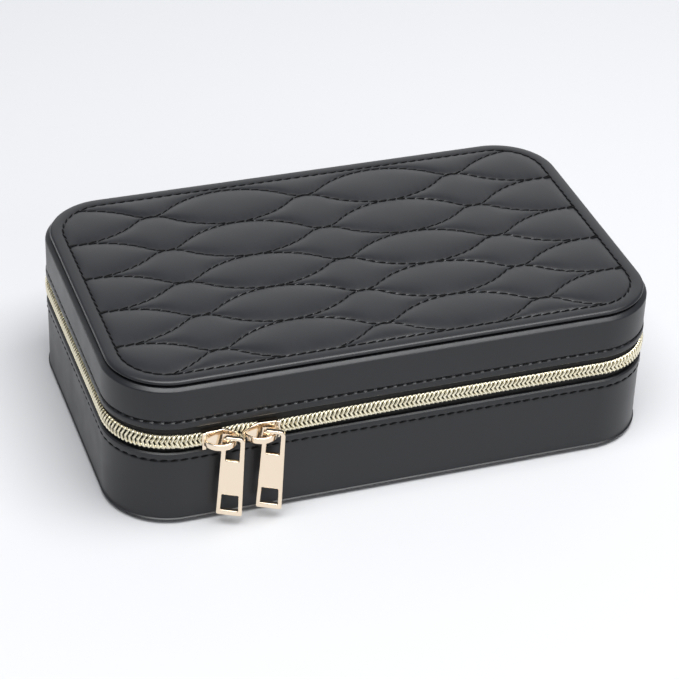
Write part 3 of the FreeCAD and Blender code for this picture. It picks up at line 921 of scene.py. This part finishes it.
bail_section = rounded([(0, -bail_half, bail_edge), (0, bail_half, bail_edge),
                        (bail_strap, bail_half, bail_edge), (bail_strap, -bail_half, bail_edge)], steps=3)
for side, centre in zip(("left", "right"), slider_x):
    bow = []
    for turn in np.linspace(-bail_sweep, bail_sweep, bail_steps):
        bow.append([(centre + (bail_radius - inset) * math.sin(turn),
                     front_y - bail_depth - (bail_radius - inset) * math.cos(turn), bail_z + z)
                    for inset, z in bail_section])
    dress(tubes(side + "_bail", rose_gold, [bow]), side + "_slider", "slider_gold", side + "_slider_bail")

# %% Pulls
pull_low, pull_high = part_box("left_pull_tab")
pull_thickness = 1.8 * mm
pull_bevel = 0.26 * mm
pull_yaw = math.radians(24)
pull_lean = math.radians(2.6)
pull_outlines = [
    ((4.95 * mm, pull_low.z, 0.9 * mm), (4.25 * mm, pull_high.z, 2.0 * mm), 6),
    ((2.65 * mm, 30.2 * mm, 0.35 * mm), (2.6 * mm, 39.65 * mm, 0.9 * mm), 4),
    ((3.4 * mm, 6.8 * mm, 0.3 * mm), (3.2 * mm, 14.2 * mm, 0.3 * mm), 4),
]


def pull(name, pivot):
    """A flat curve with two windows, bevelled, stood up and turned a little away from the wall."""
    flat = bpy.data.curves.new(name, "CURVE")
    flat.dimensions = "2D"
    flat.fill_mode = "BOTH"
    flat.extrude = pull_thickness / 2 - pull_bevel
    flat.bevel_depth = pull_bevel
    flat.bevel_resolution = 2
    flat.offset = -pull_bevel
    for (low_half, low_z, low_round), (high_half, high_z, high_round), steps in pull_outlines:
        outline = rounded([(-low_half, low_z, low_round), (low_half, low_z, low_round),
                           (high_half, high_z, high_round), (-high_half, high_z, high_round)], steps)
        spline = flat.splines.new("POLY")
        spline.points.add(len(outline) - 1)
        spline.points.foreach_set("co", np.array([(x, z, 0, 1) for x, z in outline], np.float32).ravel())
        spline.use_cyclic_u = True
    holder = put(name + "_flat", flat)
    mesh = plain_mesh(holder)
    bpy.data.objects.remove(holder)
    hung = Matrix.Rotation(-pull_lean, 4, "Z") @ Matrix.Translation((0, -pivot[2], 0))
    stood = Matrix.Rotation(-pull_yaw, 4, "Z") @ Matrix.Rotation(math.pi / 2, 4, "X")
    mesh.transform(Matrix.Translation(pivot) @ stood @ hung)
    mesh.name = name
    mesh.materials.clear()
    mesh.materials.append(rose_gold)
    print(f"{name}: {len(mesh.polygons)} faces")
    return put(name, mesh)


for side in ("left", "right"):
    joint = next(j for j in frame["joints"] if j["name"] == side + "_pull_swing")
    dress(pull(side + "_pull", joint["pos_m"]), side + "_pull", "slider_gold", side + "_pull_tab")

# %% [markdown]
# ## Hinge strip and underside
# At the back a soft leather strip replaces the zip and lets the lid turn. It is one piece, bowed out a little
# between the base and the lid. The underside is a leatherette panel with softly turned edges, on which the
# case stands. Both are profiles swept along the same walk as the bands, so they fit under the bands' edges.

# %% Hinge strip
hinge_walk = np.linspace(-zip_end, zip_end, 260)
hinge_low_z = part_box("hinge_strip_lower")[0].z
hinge_high_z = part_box("hinge_strip_upper")[1].z
hinge_bulge = 0.5 * mm
strip_z = np.linspace(hinge_low_z, hinge_high_z, 24)
open_part = np.clip((strip_z - base_lip_z) / (lid_lip_z - base_lip_z), 0, 1)
strip_inset = tape_inset - hinge_bulge * np.sin(np.pi * open_part)
hinge_strip = sweep("leather_hinge_strip", hinge_leather, hinge_walk,
                    np.concatenate([strip_inset, strip_inset[::-1] + tape_thickness]),
                    np.concatenate([strip_z, strip_z[::-1]]), closed_way=False)
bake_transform(hinge_strip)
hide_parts("hinge_strip_lower", "hinge_strip_upper")

# %% Underside
coarse_walk = np.linspace(0, way_round, 260, endpoint=False)
under_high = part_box("base_bottom_panel")[1]
under_inset = half_length - under_high.x
under_edge = 0.9 * mm
under_step_z = under_high.z - 0.15 * mm
skirt, skirt_z = leather - 0.1 * mm, foot_z + 0.3 * mm
far_in = 40 * mm
under_outline = rounded([
    (far_in, 0, 0), (under_inset, 0, under_edge), (under_inset, under_step_z, 0), (skirt, under_step_z, 0),
    (skirt, skirt_z, 0), (leather, skirt_z, 0), (leather, under_high.z, 0), (far_in, under_high.z, 0)])[1:-1]
underside = sweep("underside_panel", underside_leather, coarse_walk, *under_outline.T, closed_profile=False)
dress(underside, "base", "underside_leather", "base_bottom_panel")

# %% [markdown]
# ## Velvet and board
# The inside is lined with short pile velvet. The eye sees a dull, warm grey cloth with no highlight, paler
# where it is seen along the surface, and brushed patches where the pile lies another way. A sheen, slow
# noise and a fine nap make it, because single hairs are far too fine to see from here. The two boards are
# pressed grey paper pulp, with short fibres that show as fine specks. The base keeps the frame's own board,
# and the lid's board is swept as a tray with a bevelled edge that clears the band's shoulder.


# %% Velvet and board
def velvet_finish(name, colour, nap_mm):
    """Sheen over a colour that slow brush marks and a fine nap change."""
    made, tree, surface, coords = finish_of(
        name, Roughness=0.95, Specular_IOR_Level=0.1, Sheen_Weight=0.35, Sheen_Roughness=0.4)
    place = coords["Object"]
    brushed = node(tree, "ShaderNodeTexNoise", {"Vector": place, "Scale": 1 / (18 * mm), "Detail": 2.0})
    nap = node(tree, "ShaderNodeTexNoise", {"Vector": place, "Scale": 1 / (nap_mm * mm), "Detail": 3.0})
    both = node(tree, "ShaderNodeMath", {0: brushed, 1: nap}, operation="MULTIPLY")
    spread = node(tree, "ShaderNodeMapRange", {"Value": both, "From Min": 0.12, "From Max": 0.4})
    node(tree, "ShaderNodeMix", {"Factor": spread, "A": paint(colour, 0.78), "B": paint(colour, 1.12)},
         surface["Base Color"], data_type="RGBA")
    node(tree, "ShaderNodeBump", {"Height": nap, "Strength": 0.5, "Distance": 0.15 * mm}, surface["Normal"])
    return made


lining_velvet = velvet_finish("greige_short_pile_velvet", "#a0968c", 0.5)
roll_velvet = velvet_finish("pale_ring_roll_velvet", "#aba096", 0.5)
elastic_cloth = velvet_finish("cloth_covered_elastic", "#958a7f", 0.3)

grey_board, tree, surface, coords = finish_of("pressed_grey_board", Roughness=0.9)
fibre = node(tree, "ShaderNodeTexNoise", {"Vector": coords["Object"], "Scale": 1 / (0.8 * mm), "Detail": 5.0})
node(tree, "ShaderNodeMix", {"Factor": fibre, "A": paint("#938b80"), "B": paint("#bdb5aa")},
     surface["Base Color"], data_type="RGBA")
for held in frame["nodes"]["base_shell"].material_slots:
    held.material = grey_board

# %% Lid board
board_low, board_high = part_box("lid_shell")
board = 2.4 * mm
board_edge = 0.3 * mm
board_in = 20 * mm
board_top_z = board_high.z - 0.5 * mm
board_outline = rounded([
    (board_in, board_high.z - board, 0), (leather + board, board_high.z - board, board_edge),
    (leather + board, board_low.z, board_edge), (leather, board_low.z, board_edge),
    (leather, board_high.z - 2 * shoulder_drop, board_edge),
    (leather + shoulder_run, board_top_z, board_edge), (board_in, board_top_z, 0)])
lid_board = sweep("lid_board_tray", grey_board, coarse_walk, *board_outline.T, closed_profile=False)
dress(lid_board, "lid", "grey_board", "lid_shell")

# %% [markdown]
# ## Lined trays
# The base holds a velvet covered tray whose neck stands up inside the zip and guides the lid. The lid is
# lined with velvet too. Both are profiles swept round the case and closed with a flat floor, with a soft
# fillet in the corner, because cloth over a glued board never makes a sharp inner edge.

# %% Base tray and lid lining
liner_low, liner_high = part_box("base_liner")
lining_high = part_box("lid_lining")[1]
tuck_inset = half_length - liner_high.x
flange_inset = 2.5 * mm
flange = 0.4 * mm
flange_edge = 0.15 * mm
fillet = 2.0 * mm
neck_edge = 0.7 * mm
neck_inset = tuck_inset + 1.1 * mm
cavity_inset = neck_inset + 1.5 * mm
floor_z = liner_low.z + 1.0 * mm
cover_z = base_lip_z - 0.6 * mm
roof_z = lining_high.z - 0.6 * mm
lid_face = tuck_inset + 0.6 * mm
lip_cover_z = lid_lip_z + 0.8 * mm


def floor_points(inset, z):
    """The corner with its fillet and two places on the flat floor or roof."""
    return [(inset, z, fillet), (inset + 3 * mm, z, 0), (inset + 5 * mm, z, 0)]


tray_outline = rounded([
    (tuck_inset, liner_low.z, 0), (tuck_inset, cover_z - flange, 0), (flange_inset, cover_z - flange, 0),
    (flange_inset, cover_z, flange_edge), (neck_inset, cover_z, 0.4 * mm),
    (neck_inset, liner_high.z, neck_edge), (cavity_inset, liner_high.z, neck_edge),
    *floor_points(cavity_inset, floor_z)])
lining_outline = rounded([
    (tuck_inset, lining_high.z, 0), (tuck_inset, lip_cover_z + flange, 0),
    (flange_inset, lip_cover_z + flange, 0), (flange_inset, lip_cover_z, flange_edge),
    (lid_face, lip_cover_z, 0.3 * mm), *floor_points(lid_face, roof_z)])
tray = sweep("velvet_base_tray", lining_velvet, coarse_walk, *tray_outline.T, closed_profile=False)
dress(tray, "base", "greige_velvet", "base_liner")
lining = sweep("velvet_lid_lining", lining_velvet, coarse_walk, *lining_outline.T, closed_profile=False)
dress(lining, "lid", "greige_velvet", "lid_lining")

# %% [markdown]
# ## Dividers and ring section
# Thin boards covered in velvet part the base. At the left a foam pad carries seven foam rolls, between
# which rings are pushed. A rounded plan drawn in a little at each of a few heights makes boards, pad and
# straps alike. A box with bevelled edges would do for the boards, but not for the pad, which fits the
# case's round corners. The rolls are soft tubes with round ends that lie flat on the pad and are pressed a
# little out of true.


# %% Dividers and pad
def block(corners, rings):
    """Rings over a rounded plan of (x, y, radius) corners, drawn in by (inset, height) steps."""
    middle = np.mean([c[:2] for c in corners], axis=0)
    made = []
    for inset, z in rings:
        plan = rounded([(x - math.copysign(inset, x - middle[0]), y - math.copysign(inset, y - middle[1]),
                         max(radius - inset, 0.05 * mm)) for x, y, radius in corners])
        made.append([(x, y, z) for x, y in plan])
    return made


def plan_of(low, high, radii):
    """Corners of a box seen from above, from the front left one round to the back left one."""
    places = ((low.x, low.y), (high.x, low.y), (high.x, high.y), (low.x, high.y))
    return [(*place, radius) for place, radius in zip(places, radii)]


def soft_rings(low_z, high_z, radius):
    """Straight sides and a rounded upper edge."""
    arc = [(radius * (1 - math.cos(a)), high_z - radius * (1 - math.sin(a)))
           for a in np.radians([0, 22, 45, 67, 90])]
    return [(0, low_z)] + arc + [(radius + 0.1 * mm, high_z)]


divider_corner, divider_edge = 0.4 * mm, 0.9 * mm
for wall_name in ("ring_section_wall", "long_divider", "front_left_divider", "front_right_divider",
                  "back_divider"):
    low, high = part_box(wall_name)
    shape = block(plan_of(low, high, [divider_corner] * 4), soft_rings(low.z, high.z, divider_edge))
    dress(tubes("velvet_" + wall_name, lining_velvet, [shape]), "base", "greige_velvet", wall_name)

pad_low, pad_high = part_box("ring_pad")
pad_corner = corner_radius - cavity_inset - 0.4 * mm
pad_right, pad_edge = 1.5 * mm, 1.4 * mm
pad_plan = plan_of(pad_low, pad_high, (pad_corner, pad_right, pad_right, pad_corner))
pad_shape = block(pad_plan, soft_rings(pad_low.z, pad_high.z, pad_edge))
ring_pad = tubes("foam_ring_pad", lining_velvet, [pad_shape])
dress(ring_pad, "base", "greige_velvet", "ring_pad")

# %% Ring rolls
rolls_low, rolls_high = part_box("ring_rolls")
roll_radius = 8.3 * mm
roll_count = 7
roll_sides = 28
roll_end = 3.2 * mm
roll_clear = 0.6 * mm
roll_uneven, uneven_reach = 0.25 * mm, 9 * mm
roll_rest_z = rolls_low.z + 0.02 * mm
roll_middle_z = rolls_high.z - roll_radius
roll_pitch = (rolls_high.y - rolls_low.y - 2 * roll_radius) / (roll_count - 1)
end_steps = roll_end * (1 - np.cos(np.linspace(0.08, math.pi / 2, 7)))


def turns(count):
    """Angles of one full turn in equal steps."""
    return np.linspace(0, 2 * math.pi, count, endpoint=False)


rolls = []
for i in range(roll_count):
    y = rolls_low.y + roll_radius + i * roll_pitch
    into_corner = max(abs(y) + roll_radius - straight_y, 0)
    left_x = pad_low.x + pad_corner - math.sqrt(max((pad_corner - roll_clear) ** 2 - into_corner ** 2, 0))
    right_x = rolls_high.x
    between = np.linspace(left_x + roll_end, right_x - roll_end, 18)[1:-1]
    roll = []
    for x in np.concatenate([left_x + end_steps, between, right_x - end_steps[::-1]]):
        from_end = min(x - left_x, right_x - x, roll_end)
        radius = roll_radius - roll_end * (1 - math.sqrt(1 - (1 - from_end / roll_end) ** 2))
        ring = []
        for turn in turns(roll_sides):
            side, rise = math.cos(turn), math.sin(turn)
            dent = roll_uneven * noise.noise(Vector((x, y + side * radius, rise * radius)) / uneven_reach)
            z = roll_middle_z + (radius + dent) * rise
            ring.append((x, y + (radius + dent) * side, max(z, roll_rest_z)))
        roll.append(ring)
    rolls.append(roll)
ring_rolls = tubes("soft_ring_rolls", roll_velvet, rolls)
dress(ring_rolls, "base", "ring_roll_velvet", "ring_rolls")

# %% [markdown]
# ## Inside the lid
# The lid carries a gathered cloth pocket with an elastic edge, and five straps with snap studs for
# necklaces. The pocket is one sheet: its folds are deep at the elastic, which draws it together, and fade
# towards the back, where it is sewn down. The elastic is a cloth tube that is ruched in the same folds. A
# formula gives the folds, since the cloth is tightly held along all its edges, and Solidify gives the sheet
# its thickness.

# %% Pocket
pocket_low, pocket_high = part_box("lid_pocket")
pocket_columns, pocket_rows = 300, 40
fold_pitch = 7.0 * mm
fold_depth = 1.9 * mm
fold_fade = 30 * mm
fold_drift = 1.6 * mm
cloth = 0.5 * mm
cloth_gap = 0.35 * mm
pocket_belly = 0.9 * mm
side_fade = 6 * mm


def fold(x, y):
    """Height of the gathers, from 0 to 1, uneven along the edge and from fold to fold."""
    drift = fold_drift * noise.noise(Vector((x / (17 * mm), y / (40 * mm), 0.3)))
    strength = 0.75 + 0.5 * noise.noise(Vector((x / (11 * mm), y / (30 * mm), 4.7)))
    return strength * (0.5 + 0.5 * math.cos(2 * math.pi * (x + drift) / fold_pitch))


hang = []
for y in np.linspace(pocket_low.y, pocket_high.y, pocket_rows):
    open_share = (pocket_high.y - y) / (pocket_high.y - pocket_low.y)
    for x in np.linspace(pocket_low.x, pocket_high.x, pocket_columns):
        from_side = min(pocket_high.x - x, x - pocket_low.x)
        fullness = (1 - math.exp(-from_side / side_fade)) * math.sin(open_share * math.pi / 2)
        gathers = fold_depth * fold(x, y) * math.exp(-(y - pocket_low.y) / fold_fade) * fullness
        hang.append((x, y, pocket_high.z - cloth_gap - cloth - pocket_belly * fullness - gathers))
pocket_faces = grid_faces(pocket_rows, pocket_columns, False, False)
pocket = new_piece("gathered_lid_pocket", hang, pocket_faces, lining_velvet)
modified(pocket, "SOLIDIFY", thickness=cloth, offset=0)
dress(pocket, "lid", "greige_velvet", "lid_pocket")

# %% Elastic edge
elastic_low, elastic_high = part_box("pocket_elastic")
elastic_radius = (elastic_high.y - elastic_low.y) / 2
elastic_y, elastic_z = elastic_low.y + elastic_radius, elastic_low.z + elastic_radius
elastic_sides = 16
ruche_depth = 0.28
ruches = []
for x in np.linspace(elastic_low.x, elastic_high.x, pocket_columns):
    ruched = elastic_radius * (1 - ruche_depth + ruche_depth * min(fold(x, pocket_low.y), 1.0))
    ruches.append([(x, elastic_y + ruched * math.cos(turn), elastic_z + ruched * math.sin(turn))
                   for turn in turns(elastic_sides)])
elastic = tubes("ruched_pocket_elastic", elastic_cloth, [ruches])
dress(elastic, "lid", "pocket_elastic", "pocket_elastic")

# %% Straps and studs
strap_low, strap_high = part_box("necklace_straps")
stud_low, stud_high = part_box("snap_studs")
strap_count = 5
strap_width = 9 * mm
strap_step = (strap_high.x - strap_low.x - strap_width) / (strap_count - 1)
strap_radii = [radius * mm for radius in (1.0, 1.0, 4.3, 4.3)]
strap_rings = [(0.3 * mm, strap_low.z), (0.08 * mm, strap_low.z + 0.1 * mm), (0, strap_low.z + 0.3 * mm),
               (0, strap_high.z)]
stud_radius = (stud_high.y - stud_low.y) / 2
stud_y = (stud_low.y + stud_high.y) / 2
stud_sides = 32
stud_outline = [(stud_radius, stud_high.z)]
stud_outline += [(share * stud_radius, stud_low.z + rise * mm) for share, rise in (
    (1.0, 0.9), (0.94, 0.5), (0.7, 0.15), (0.35, 0.02), (0.05, 0))]
strap_shapes, stud_shapes = [], []
for i in range(strap_count):
    x = strap_low.x + strap_width / 2 + i * strap_step
    low, high = Vector((x - strap_width / 2, strap_low.y)), Vector((x + strap_width / 2, strap_high.y))
    strap_shapes.append(block(plan_of(low, high, strap_radii), strap_rings))
    stud_shapes.append([[(x + radius * math.cos(turn), stud_y + radius * math.sin(turn), z)
                         for turn in turns(stud_sides)] for radius, z in stud_outline])
straps = tubes("velvet_necklace_straps", lining_velvet, strap_shapes)
studs = tubes("domed_snap_studs", rose_gold, stud_shapes)
dress(straps, "lid", "greige_velvet", "necklace_straps")
dress(studs, "lid", "slider_gold", "snap_studs")
